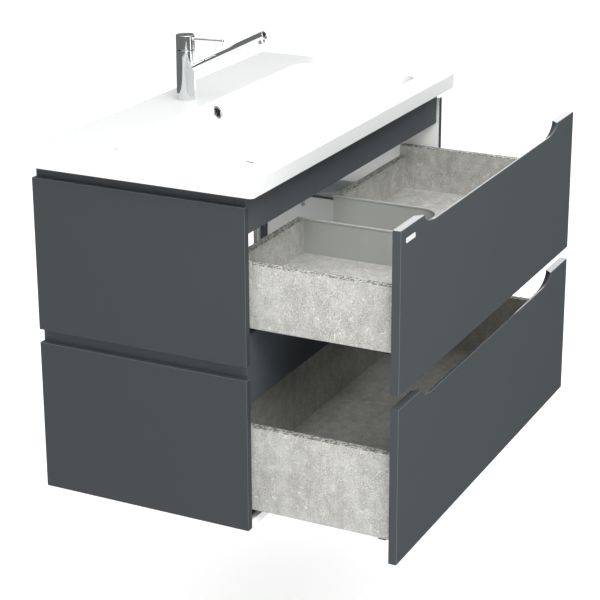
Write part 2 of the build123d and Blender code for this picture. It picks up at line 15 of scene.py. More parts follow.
import bmesh
import bpy
import numpy as np
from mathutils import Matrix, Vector


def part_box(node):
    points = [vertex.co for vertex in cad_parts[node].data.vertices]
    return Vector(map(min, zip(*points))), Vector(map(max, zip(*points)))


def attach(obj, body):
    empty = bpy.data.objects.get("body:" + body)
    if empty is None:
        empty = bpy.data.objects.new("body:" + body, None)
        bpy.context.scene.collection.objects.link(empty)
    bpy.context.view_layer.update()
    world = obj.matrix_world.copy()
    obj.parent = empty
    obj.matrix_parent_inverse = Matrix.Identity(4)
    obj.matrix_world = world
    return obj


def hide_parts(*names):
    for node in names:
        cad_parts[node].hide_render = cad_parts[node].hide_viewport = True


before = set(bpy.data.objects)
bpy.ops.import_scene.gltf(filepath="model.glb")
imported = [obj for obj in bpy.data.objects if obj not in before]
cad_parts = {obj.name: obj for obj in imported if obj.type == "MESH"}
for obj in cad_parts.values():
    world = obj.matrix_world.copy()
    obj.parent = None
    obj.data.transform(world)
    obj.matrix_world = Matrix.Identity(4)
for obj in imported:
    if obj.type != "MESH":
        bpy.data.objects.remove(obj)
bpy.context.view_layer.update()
MM = 0.001
LOG = logging.getLogger("vanity")

Colour = tuple[float, float, float]
MADE: dict[str, bpy.types.Material] = {}


# ---------------------------------------------------------------- shader graph


class Wire:
    """One output socket of a node. Arithmetic on it adds Math nodes."""

    def __init__(self, graph: "Graph", socket: bpy.types.NodeSocket) -> None:
        """Hold the socket and the graph that it belongs to."""
        self.graph = graph
        self.socket = socket

    def maths(self, operation: str, *operands: "Wire | float") -> "Wire":
        """Add one Math node.

        Args:
            operation: The Math node's operation.
            operands: Its inputs in order.

        Returns:
            The node's output.
        """
        return self.graph.node("ShaderNodeMath", {"operation": operation}, dict(enumerate(operands)))

    def __add__(self, other: "Wire | float") -> "Wire":
        """Sum."""
        return self.maths("ADD", self, other)

    def __radd__(self, other: float) -> "Wire":
        """Sum with a number on the left."""
        return self.maths("ADD", other, self)

    def __sub__(self, other: "Wire | float") -> "Wire":
        """Difference."""
        return self.maths("SUBTRACT", self, other)

    def __rsub__(self, other: float) -> "Wire":
        """Difference from a number on the left."""
        return self.maths("SUBTRACT", other, self)

    def __mul__(self, other: "Wire | float") -> "Wire":
        """Product."""
        return self.maths("MULTIPLY", self, other)

    def __rmul__(self, other: float) -> "Wire":
        """Product with a number on the left."""
        return self.maths("MULTIPLY", other, self)

    def __gt__(self, other: "Wire | float") -> "Wire":
        """One where this is above the other, else zero."""
        return self.maths("GREATER_THAN", self, other)

    def __lt__(self, other: "Wire | float") -> "Wire":
        """One where this is below the other, else zero."""
        return self.maths("LESS_THAN", self, other)

    def __abs__(self) -> "Wire":
        """Absolute value."""
        return self.maths("ABSOLUTE", self)

    def least(self, other: "Wire | float") -> "Wire":
        """The smaller of the two."""
        return self.maths("MINIMUM", self, other)

    def most(self, other: "Wire | float") -> "Wire":
        """The larger of the two."""
        return self.maths("MAXIMUM", self, other)

    def ramp(self, low: float, high: float) -> "Wire":
        """Zero below low, one above high and a smooth rise between them."""
        settings = {"interpolation_type": "SMOOTHSTEP"}
        values = {"Value": self, "From Min": low, "From Max": high}
        return self.graph.node("ShaderNodeMapRange", settings, values)


class Graph:
    """The node tree of one material, written as expressions."""

    def __init__(self, tree: bpy.types.NodeTree) -> None:
        """Start with an empty tree."""
        tree.nodes.clear()
        self.tree = tree

    def add(
        self,
        kind: str,
        settings: dict[str, object] | None = None,
        values: dict[str | int, "Wire | float | Sequence[float]"] | None = None,
    ) -> bpy.types.Node:
        """Add a node, set its settings first and then its inputs.

        Args:
            kind: The node's type name.
            settings: Attributes that are set first.
            values: Links or constants by input name or place.

        Returns:
            The node.
        """
        made = self.tree.nodes.new(kind)
        for name, value in (settings or {}).items():
            setattr(made, name, value)
        for key, value in (values or {}).items():
            if isinstance(value, Wire):
                self.tree.links.new(value.socket, made.inputs[key])
            else:
                made.inputs[key].default_value = value
        return made

    def node(
        self,
        kind: str,
        settings: dict[str, object] | None = None,
        values: dict[str | int, "Wire | float | Sequence[float]"] | None = None,
        output: str | int = 0,
    ) -> Wire:
        """Add a node as add does, and return its named output as a wire."""
        return Wire(self, self.add(kind, settings, values).outputs[output])

    def place(self) -> Wire:
        """The point's place in object coordinates, in metres."""
        return self.node("ShaderNodeTexCoord", output="Object")

    def axes(self) -> tuple[Wire, Wire, Wire]:
        """The X, Y and Z of the point's place."""
        place = self.place()
        return tuple(
            self.node("ShaderNodeSeparateXYZ", values={"Vector": place}, output=axis)
            for axis in "XYZ"
        )

    def facing(self, axis: str) -> Wire:
        """One component of the face's own normal, which is fixed to the piece."""
        normal = self.node("ShaderNodeNewGeometry", output="Normal")
        return self.node("ShaderNodeSeparateXYZ", values={"Vector": normal}, output=axis)

    def noise(self, scale: float, detail: float = 2.0, stretch: Colour = (1.0, 1.0, 1.0)) -> Wire:
        """Cloud noise from zero to one.

        Args:
            scale: Features per metre.
            detail: Octaves.
            stretch: Factor on each axis; a smaller one draws the clouds out that way.

        Returns:
            The noise value.
        """
        drawn = self.node("ShaderNodeVectorMath", {"operation": "MULTIPLY"}, {0: self.place(), 1: stretch})
        return self.node("ShaderNodeTexNoise", values={"Vector": drawn, "Scale": scale, "Detail": detail})

    def blend(self, share: "Wire | float", first: "Wire | Colour", second: "Wire | Colour") -> Wire:
        """A colour that is first where share is zero and second where it is one."""
        values = {0: share}
        for place, colour in ((6, first), (7, second)):
            values[place] = colour if isinstance(colour, Wire) else (*colour, 1.0)
        return self.node("ShaderNodeMix", {"data_type": "RGBA"}, values, output=2)

    def bump(self, height: Wire, depth: float, before: Wire | None = None) -> Wire:
        """A normal tilted by a height pattern.

        Args:
            height: The pattern, from zero to one.
            depth: How deep one is, in metres.
            before: A normal that this one is laid over.

        Returns:
            The new normal.
        """
        values = {"Height": height, "Distance": depth, "Strength": 1.0}
        if before is not None:
            values["Normal"] = before
        return self.node("ShaderNodeBump", values=values)

    def principled(self, values: dict[str, "Wire | float | Colour"]) -> None:
        """End the tree in one Principled shader with these inputs."""
        colours = {
            key: (*value, 1.0) if isinstance(value, tuple) and len(value) == 3 else value
            for key, value in values.items()
        }
        shader = self.node("ShaderNodeBsdfPrincipled", values=colours)
        self.add("ShaderNodeOutputMaterial", values={"Surface": shader})


# ---------------------------------------------------------------- finishes


@dataclass(frozen=True)
class Finish:
    """A surface finish; subclasses say what the shader's inputs are."""

    name: str

    def inputs(self, g: Graph) -> dict[str, Wire | float | Colour]:
        """The Principled inputs, as constants or wires."""
        raise NotImplementedError

    def material(self) -> bpy.types.Material:
        """The finish's material, made once.

        Returns:
            The material.

        Raises:
            ValueError: If the frame already has a material of this name.
        """
        if self.name not in MADE:
            if self.name in bpy.data.materials:
                raise ValueError(f"finish {self.name} has the name of a frame material")
            made = bpy.data.materials.new(self.name)
            made.use_nodes = True
            graph = Graph(made.node_tree)
            graph.principled(self.inputs(graph))
            MADE[self.name] = made
        return MADE[self.name]


@dataclass(frozen=True)
class Laminate(Finish):
    """Matt melamine with smoother banded edges and arrises painted paler: partly the paler edge band,
    partly a painted highlight.

    Attributes:
        face: Colour of the outer faces.
        arris: Colour of the rounded or chamfered edges, paler than the face: a painted highlight over the
            paler edge band.
        inner: Colour of the faces nearer the middle than inner_x.
        inner_x: Distance from the middle plane where the inner faces lie, or zero for none.
        front_only: True where only the edges that look forward are chamfered.
    """

    face: Colour
    arris: Colour
    inner: Colour = (0.86, 0.86, 0.85)
    inner_x: float = 0.0
    front_only: bool = False

    def inputs(self, g: Graph) -> dict[str, Wire | float | Colour]:
        """Fine-grained laminate; the edges that face up are smoother than its faces."""
        x, y, z = g.axes()
        grain = g.noise(2600.0, 3.0)
        cloud = g.noise(9.0, 2.0)
        shade = (grain - 0.5) * 0.5 + (cloud - 0.5) * 0.4 + 0.5
        darker = tuple(0.96 * part for part in self.face)
        lighter = tuple(1.04 * part for part in self.face)
        colour = g.blend(shade, darker, lighter)
        along_x, along_y, along_z = (g.facing(axis) for axis in "XYZ")
        # Painted highlight: chamfered and rounded edges are blended towards the paler arris colour, partly
        # the paler edge band.
        if self.front_only:
            turned = (along_y < -0.3) * (along_y > -0.95)
        else:
            turned = abs(along_x).most(abs(along_y)).most(abs(along_z)) < 0.96
        colour = g.blend(turned * 0.85, colour, self.arris)
        if self.inner_x:
            inside = abs(x) < self.inner_x + 0.25 * MM
            colour = g.blend(inside, colour, self.inner)
        return {
            "Base Color": colour,
            "Roughness": 0.5 + (grain - 0.5) * 0.12,
            "Specular IOR Level": 0.06,
            "Coat Weight": along_z.ramp(0.80, 0.98),
            "Coat Roughness": 0.10,
            "Coat IOR": 1.8,
            "Normal": g.bump(grain, 0.008 * MM),
        }


@dataclass(frozen=True)
class ConcreteDecor(Finish):
    """Light grey concrete print with clouds, pale flecks and streaks, dark-flecked on its top edges.

    Attributes:
        pale: Colour of the light clouds.
        deep: Colour of the dark clouds.
        edge: Height of the board's top edge, which carries dark flecks.
    """

    pale: Colour
    deep: Colour
    edge: float = 0.0

    def inputs(self, g: Graph) -> dict[str, Wire | float | Colour]:
        """Clouds of three sizes, upright streaks, pale flecks, and dark dashes along top edges."""
        x, y, z = g.axes()
        cloud = g.noise(6.0, 4.0)
        mottle = g.noise(55.0, 5.0, (1.0, 1.0, 0.75))
        fine = g.noise(330.0, 4.0)
        streak = g.noise(70.0, 2.0, (1.0, 1.0, 0.05))
        shade = cloud * 0.6 + mottle * 1.0 + fine * 1.3 + streak * 0.35 - 1.12
        colour = g.blend(shade.ramp(0.10, 0.90), self.deep, self.pale)
        crumbs = g.noise(520.0, 2.0).ramp(0.54, 0.66) * g.noise(7.0, 2.0).ramp(0.38, 0.60)
        bright = tuple(min(1.0, 1.5 * part) for part in self.pale)
        colour = g.blend(crumbs * 0.75, colour, bright)
        worm = 1.0 - abs(g.noise(26.0, 3.0) - 0.5).ramp(0.004, 0.014)
        worm = worm * g.noise(90.0, 2.0).ramp(0.5, 0.6)
        colour = g.blend(worm * 0.5, colour, bright)
        pit = g.noise(240.0, 2.0).ramp(0.66, 0.74)
        dark = tuple(0.30 * part for part in self.deep)
        colour = g.blend(pit * 0.55, colour, dark)
        band = abs(z - self.edge) < 1.7 * MM
        dash = g.noise(190.0, 3.0).ramp(0.46, 0.56)
        colour = g.blend(band * dash * 0.85, colour, dark)
        return {
            "Base Color": colour,
            "Roughness": 0.58 + (mottle - 0.5) * 0.2,
            "Specular IOR Level": 0.25,
            "Normal": g.bump(fine, 0.06 * MM, g.bump(pit, -0.12 * MM)),
        }


@dataclass(frozen=True)
class Glaze(Finish):
    """White sanitary glaze, glossy and faintly wavy, with a painted grey shade line over the bowl's rim."""

    def inputs(self, g: Graph) -> dict[str, Wire | float | Colour]:
        """White body under a clear coat, greyer where the face turns over the rim as painted shade."""
        x, y, _ = g.axes()
        wave = g.noise(32.0, 2.0)
        speck = g.noise(900.0, 2.0)
        colour = g.blend(wave, (0.880, 0.893, 0.886), (0.905, 0.918, 0.910))
        upward = g.facing("Z")
        # Painted shade: faces that turn over the bowl's rim are greyed into a rim line.
        rim = upward.ramp(0.35, 0.60) * (1.0 - upward.ramp(0.80, 0.97))
        rim = rim * (abs(x) < 0.445) * (y > -0.46) * (y < -0.11)
        colour = g.blend(rim * 0.9, colour, (0.62, 0.64, 0.63))
        return {
            "Base Color": colour,
            "Roughness": 0.12 + speck * 0.05,
            "Coat Weight": 0.6,
            "Coat Roughness": 0.04,
            "Normal": g.bump(wave, 0.10 * MM),
        }


@dataclass(frozen=True)
class Metal(Finish):
    """A metal with fine draw lines or spangle.

    Attributes:
        tint: Its colour.
        rough: Mean roughness.
        spread: How far the roughness varies.
        scale: Pattern features per metre.
        stretch: Factor on each axis of the pattern.
        relief: Depth of the pattern in metres.
    """

    tint: Colour
    rough: float
    spread: float = 0.05
    scale: float = 300.0
    stretch: Colour = (1.0, 1.0, 1.0)
    relief: float = 0.0

    def inputs(self, g: Graph) -> dict[str, Wire | float | Colour]:
        """Metal whose tint and roughness follow one drawn-out noise."""
        lines = g.noise(self.scale, 3.0, self.stretch)
        shade = tuple(0.88 * part for part in self.tint)
        values: dict[str, Wire | float | Colour] = {
            "Base Color": g.blend(lines, shade, self.tint),
            "Metallic": 1.0,
            "Roughness": self.rough + (lines - 0.5) * self.spread,
        }
        if self.relief:
            values["Normal"] = g.bump(lines, self.relief)
        return values


@dataclass(frozen=True)
class Plastic(Finish):
    """Moulded plastic with a fine eroded texture.

    Attributes:
        tint: Its colour.
        rough: Mean roughness.
        texture: Depth of the mould texture in metres.
    """

    tint: Colour
    rough: float = 0.45
    texture: float = 0.02 * MM

    def inputs(self, g: Graph) -> dict[str, Wire | float | Colour]:
        """An even tint that clouds slightly, over a fine grain."""
        grain = g.noise(1500.0, 2.0)
        cloud = g.noise(14.0, 2.0)
        lighter = tuple(min(1.0, 1.08 * part) for part in self.tint)
        darker = tuple(0.93 * part for part in self.tint)
        return {
            "Base Color": g.blend(cloud, darker, lighter),
            "Roughness": self.rough + (grain - 0.5) * 0.15,
            "Normal": g.bump(grain, self.texture),
        }


@dataclass(frozen=True)
class StageFloor(Finish):
    """The pale studio floor."""

    def inputs(self, g: Graph) -> dict[str, Wire | float | Colour]:
        """Nearly white, fully matt and a little lit from below, with the slightest cloud."""
        cloud = g.noise(0.7)
        return {
            "Base Color": g.blend(cloud, (0.90, 0.90, 0.90), (0.92, 0.92, 0.92)),
            "Roughness": 0.9,
            "Specular IOR Level": 0.0,
            "Emission Color": (1.0, 1.0, 1.0),
            "Emission Strength": 0.34,
        }


@dataclass(frozen=True)
class Flag(Finish):
    """A dark studio flag that only polished metal reflects."""

    def inputs(self, g: Graph) -> dict[str, Wire | float | Colour]:
        """An even dark grey glow on black."""
        return {
            "Base Color": (0.0, 0.0, 0.0),
            "Roughness": 1.0,
            "Specular IOR Level": 0.0,
            "Emission Color": (0.90, 0.95, 0.93),
            "Emission Strength": 0.20,
        }


# ---------------------------------------------------------------- surfaces


def rounded(corners: Sequence[Sequence[float]], steps: int = 5, hold: float = 0.4 * MM) -> np.ndarray:
    """Points of an open outline whose corners are rounded.

    Each corner is (a, b) or (a, b, radius). A rounded corner becomes a circular arc tangent to
    both runs; a point hold away on each side keeps the flats beside it flat when shaded smooth.

    Args:
        corners: The outline's corners.
        steps: Pieces in each arc.
        hold: Distance of the extra points from the arc's ends.

    Returns:
        The points, one row each.
    """
    sharp = [np.array(corner[:2], float) for corner in corners]
    points = []
    for place, corner in enumerate(corners):
        here = sharp[place]
        if len(corner) < 3 or place in (0, len(corners) - 1):
            points.append(here[None, :])
            continue
        back = sharp[place - 1] - here
        ahead = sharp[place + 1] - here
        back /= np.linalg.norm(back)
        ahead /= np.linalg.norm(ahead)
        half = math.acos(float(np.clip(back @ ahead, -1.0, 1.0))) / 2
        reach = corner[2] / math.tan(half)
        middle = (back + ahead) / np.linalg.norm(back + ahead)
        centre = here + middle * corner[2] / math.sin(half)
        first = here + back * reach - centre
        last = here + ahead * reach - centre
        share = np.linspace(0.0, 1.0, steps + 1)[:, None]
        swing = math.pi - 2 * half
        arc = (first * np.sin((1 - share) * swing) + last * np.sin(share * swing)) / math.sin(swing)
        points.append((here + back * (reach + hold))[None, :])
        points.append(centre + arc)
        points.append((here + ahead * (reach + hold))[None, :])
    return np.vstack(points)


def make_mesh(name: str, points: np.ndarray, faces: list[list[int]], sharp_deg: float) -> bpy.types.Object:
    """A smooth-shaded object from points and faces, doubles merged and normals outwards.

    Args:
        name: The piece's name.
        points: Its points, one row each.
        faces: Point numbers of each face.
        sharp_deg: Edges that turn more than this stay sharp.

    Returns:
        The new object.
    """
    mesh = bpy.data.meshes.new(name)
    mesh.from_pydata(points.reshape(-1, 3).tolist(), [], faces)
    work = bmesh.new()
    work.from_mesh(mesh)
    bmesh.ops.remove_doubles(work, verts=work.verts, dist=0.002 * MM)
    bmesh.ops.dissolve_degenerate(work, edges=work.edges, dist=0.001 * MM)
    bmesh.ops.recalc_face_normals(work, faces=work.faces)
    work.to_mesh(mesh)
    work.free()
    mesh.shade_smooth()
    mesh.set_sharp_from_angle(angle=math.radians(sharp_deg))
    made = bpy.data.objects.new(name, mesh)
    bpy.context.scene.collection.objects.link(made)
    return made


def loft(name: str, rows: np.ndarray, ring: bool = False, sharp_deg: float = 38.0) -> bpy.types.Object:
    """A closed shell through rows of points that wrap round.

    Args:
        name: The piece's name.
        rows: Array of rows, points round each row, and X, Y, Z.
        ring: True where the last row joins the first; otherwise both ends are closed flat.
        sharp_deg: Edges that turn more than this stay sharp.

    Returns:
        The new object.
    """
    count, across, _ = rows.shape
    row = np.arange(count if ring else count - 1)[:, None] * across
    column = np.arange(across)[None, :]
    right = (column + 1) % across
    below = (row + across) % (count * across)
    quads = np.stack([row + column, row + right, below + right, below + column], axis=-1)
    faces = quads.reshape(-1, 4).tolist()
    if not ring:
        last = (count - 1) * across
        faces.append(list(range(across)))
        faces.append(list(range(last, last + across)))
    return make_mesh(name, rows, faces, sharp_deg)


def basis(direction: Sequence[float]) -> tuple[np.ndarray, np.ndarray, np.ndarray]:
    """Three unit vectors: the direction and two across it."""
    along = np.array(direction, float)
    along /= np.linalg.norm(along)
    helper = np.array([1.0, 0.0, 0.0]) if abs(along[0]) < 0.9 else np.array([0.0, 1.0, 0.0])
    side = np.cross(along, helper)
    side /= np.linalg.norm(side)
    return along, side, np.cross(along, side)


def lathe_rows(
    origin: Sequence[float], direction: Sequence[float], profile: np.ndarray, around: int = 64
) -> np.ndarray:
    """Rows of a turned shape: each (distance, radius) of the profile becomes a circle."""
    along, side, other = basis(direction)
    angle = np.linspace(0.0, 2 * math.pi, around, endpoint=False)
    circle = np.cos(angle)[:, None] * side + np.sin(angle)[:, None] * other
    middle = np.array(origin, float) + profile[:, :1] * along
    return middle[:, None, :] + profile[:, 1][:, None, None] * circle[None, :, :]


def lathe(
    name: str,
    origin: Sequence[float],
    direction: Sequence[float],
    profile: np.ndarray,
    around: int = 64,
    ring: bool = False,
) -> bpy.types.Object:
    """A turned piece.

    Args:
        name: The piece's name.
        origin: A point on its axis.
        direction: The axis.
        profile: Rows of (distance along the axis, radius).
        around: Points on each circle.
        ring: True for a hollow ring whose profile closes on itself.

    Returns:
        The new object.
    """
    return loft(name, lathe_rows(origin, direction, profile, around), ring)


def rounded_ring(
    middle: tuple[float, float],
    half: tuple[float, float],
    radii: tuple[float, float],
    steps: int = 10,
    spans: int = 6,
) -> np.ndarray:
    """Points round a rectangle with arcs at its corners, as X and Y.

    Args:
        middle: Its centre.
        half: Half its size in X and Y.
        radii: Corner radius at the high-Y end and at the low-Y end.
        steps: Pieces in each corner arc.
        spans: Pieces in each straight side.

    Returns:
        The points, counter-clockwise.
    """
    points = []
    share = np.linspace(0.0, 1.0, spans + 1)[1:-1, None]
    for corner, (sign_x, sign_y) in enumerate(((1, 1), (-1, 1), (-1, -1), (1, -1))):
        radius = radii[0] if sign_y > 0 else radii[1]
        angle = math.radians(90.0 * corner) + np.linspace(0.0, math.pi / 2, steps + 1)
        centre = np.array([sign_x * (half[0] - radius), sign_y * (half[1] - radius)])
        points.append(centre + radius * np.stack([np.cos(angle), np.sin(angle)], axis=-1))
    sides = []
    for corner, arc in enumerate(points):
        start, end = arc[-1], points[(corner + 1) % 4][0]
        sides.append(np.vstack([arc, start + (end - start) * share]))
    return np.vstack(sides) + np.array(middle)


def joined(name: str, pieces: Sequence[bpy.types.Object]) -> bpy.types.Object:
    """One object from several, under a new name."""
    with bpy.context.temp_override(active_object=pieces[0], selected_editable_objects=list(pieces)):
        bpy.ops.object.join()
    pieces[0].name = name
    pieces[0].data.name = name
    return pieces[0]


def lathe_ring(
    name: str, origin: Sequence[float], direction: Sequence[float], radius: float, wire: float
) -> bpy.types.Object:
    """A round wire bent into a circle: a torus of the given radius and wire radius."""
    turn = np.linspace(0.0, 2 * math.pi, 8, endpoint=False)
    profile = np.stack([wire * np.sin(turn), radius + wire * np.cos(turn)], axis=-1)
    return lathe(name, origin, direction, profile, 32, ring=True)


def nut(
    name: str,
    origin: Sequence[float],
    direction: Sequence[float],
    tall: float,
    sides: int,
    flat: float,
    bore: float,
) -> bpy.types.Object:
    """A nut whose corners are turned off at both ends.

    At each angle the outside is the nearer of the polygon, flat over the cosine of the angle from
    the middle of its side, and the turning circle, which shrinks near the ends.

    Args:
        name: The piece's name.
        origin: The middle of its lower face.
        direction: Its axis.
        tall: Its height.
        sides: Number of flats.
        flat: Distance of a flat from the axis.
        bore: Radius of the hole.

    Returns:
        The new object.
    """
    around = sides * 12
    half = math.pi / sides
    angle = np.linspace(0.0, 2 * math.pi, around, endpoint=False)
    polygon = flat / np.cos(np.mod(angle, 2 * half) - half)
    corner = flat / math.cos(half)
    depth = (corner - flat) * 0.6
    stations = [(0.0, bore), (0.0, flat * 0.985), (depth * 0.5, (flat + corner) / 2), (depth, corner)]
    stations += [(tall - along, limit) for along, limit in reversed(stations)]
    profile = np.array(stations)
    rows = lathe_rows(origin, direction, profile, around)
    axis = np.array(origin, float) + profile[:, :1] * basis(direction)[0]
    reach = np.minimum(polygon[None, :], profile[:, 1:])
    bored = profile[:, 1:] <= bore
    reach = np.where(bored, bore, reach)
    outward = (rows - axis[:, None, :]) / profile[:, 1][:, None, None]
    return loft(name, axis[:, None, :] + outward * reach[..., None], ring=True, sharp_deg=25.0)


def threaded(
    name: str,
    middle: tuple[float, float],
    heights: tuple[float, float],
    radius: float,
    pitch: float,
    bore: float,
) -> bpy.types.Object:
    """An upright threaded tube; its crests follow a helix.

    The radius at a height and an angle is the crest less the depth of a triangle wave of
    height over pitch plus angle over a full turn.
    """
    around = 36
    steps = int((heights[1] - heights[0]) / pitch * 4)
    z = np.linspace(heights[0], heights[1], steps)[:, None]
    angle = np.linspace(0.0, 2 * math.pi, around, endpoint=False)[None, :]
    wave = np.abs(np.mod(z / pitch + angle / (2 * math.pi), 1.0) - 0.5) * 2
    reach = radius - 0.45 * pitch * wave
    tube = np.stack(
        [middle[0] + reach * np.cos(angle), middle[1] + reach * np.sin(angle), z + 0 * angle], axis=-1
    )
    inner = np.stack(
        [middle[0] + bore * np.cos(angle) + 0 * z, middle[1] + bore * np.sin(angle) + 0 * z, z + 0 * angle],
        axis=-1,
    )[[-1, 0]]
    return loft(name, np.concatenate([tube, inner]), ring=True, sharp_deg=60.0)


# ---------------------------------------------------------------- dressing


def dress_node(node: str, finish: Finish) -> None:
    """Put a finish on a CAD node that stays as it is."""
    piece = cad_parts[node]
    made = finish.material()
    if not piece.material_slots:
        piece.data.materials.append(made)
    for place in piece.material_slots:
        place.material = made
    LOG.info("node %s wears %s", node, finish.name)


def fit_piece(
    piece: bpy.types.Object, finish: Finish, body: str, stands_for: Sequence[str] = ()
) -> bpy.types.Object:
    """Give a new piece its finish, its body and the nodes that it stands for."""
    piece.data.materials.clear()
    piece.data.materials.append(finish.material())
    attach(piece, body)
    if stands_for:
        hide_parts(*stands_for)
    LOG.info("piece %s: %d faces on %s", piece.name, len(piece.data.polygons), body)
    return piece


# Each laminate's second colour is its arris colour, paler than the face: a painted edge highlight, partly
# the paler edge band.
ANTHRACITE = Laminate("anthracite_melamine", (0.0515, 0.0585, 0.0630), (0.105, 0.118, 0.125))
FRONT_GREY = Laminate("front_laminate", (0.0580, 0.0670, 0.0725), (0.100, 0.112, 0.119), front_only=True)
RAIL_GREY = Laminate("rail_melamine", (0.077, 0.087, 0.094), (0.095, 0.105, 0.112))
WHITE_BOARD = Laminate("white_melamine", (0.82, 0.82, 0.81), (0.84, 0.84, 0.83))
CHROME = Metal("polished_chrome", (0.80, 0.81, 0.82), 0.06, 0.03, 900.0)
BRASS = Metal("turned_brass", (0.72, 0.55, 0.28), 0.30, 0.15, 500.0, (1.0, 1.0, 8.0), 0.01 * MM)
ZINC = Metal("zinc_plate", (0.62, 0.64, 0.66), 0.34, 0.18, 160.0, (1.0, 0.15, 1.0), 0.01 * MM)
SCREW_STEEL = Metal("plated_screw", (0.66, 0.66, 0.64), 0.28, 0.10, 700.0)
BADGE_SILVER = Plastic("badge_silver", (0.66, 0.67, 0.67), 0.3, 0.01 * MM)
BLACK_PLASTIC = Plastic("black_plastic", (0.018, 0.019, 0.021))
GUARD_PLASTIC = Plastic("satin_guard", (0.355, 0.365, 0.345), 0.55)
CONCRETE = ConcreteDecor("concrete_decor", (0.475, 0.475, 0.446), (0.300, 0.295, 0.271))
# Near-black, for the disc that paints the shade down the overflow hole.
THROAT_SHADE = Plastic("painted_throat_shade", (0.006, 0.006, 0.006), 0.8)
DARK_STEEL = Metal("dark_steel", (0.10, 0.10, 0.10), 0.35, 0.10, 600.0)


class Level(Enum):
    """The two drawers."""

    UPPER = "upper"
    LOWER = "lower"


@dataclass
class Carcass:
    """The boards that hang on the wall."""

    inner_x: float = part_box("upper_side_right")[0][0]

    def build(self) -> None:
        """Dress the boards, rails and strips."""
        sides = replace(ANTHRACITE, inner_x=self.inner_x)
        for level in Level:
            for side in ("left", "right"):
                dress_node(f"{level.value}_side_{side}", sides)
        strips = [f"{place}_strip_{side}" for place in ("top", "mid") for side in ("left", "right")]
        strip_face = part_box("top_strip_right")[0][0]
        # The strips' inner faces are white board in the cabinet's shade; they are given a mid grey as
        # painted shade.
        strip_shaded_inside = replace(RAIL_GREY, name="strip_melamine", inner=(0.47, 0.48, 0.465), inner_x=strip_face)
        for node in strips:
            dress_node(node, strip_shaded_inside)
        for node in ("front_top_rail", "front_mid_rail"):
            dress_node(node, RAIL_GREY)
        for node in ("front_stretcher", "rear_stretcher", "rear_top_rail"):
            dress_node(node, WHITE_BOARD)
        for node in ("hanger_left", "hanger_right"):
            dress_node(node, BLACK_PLASTIC)
        for node in ("wall_plate_left", "wall_plate_right"):
            dress_node(node, ZINC)
        dress_node("carcass_screws", SCREW_STEEL)


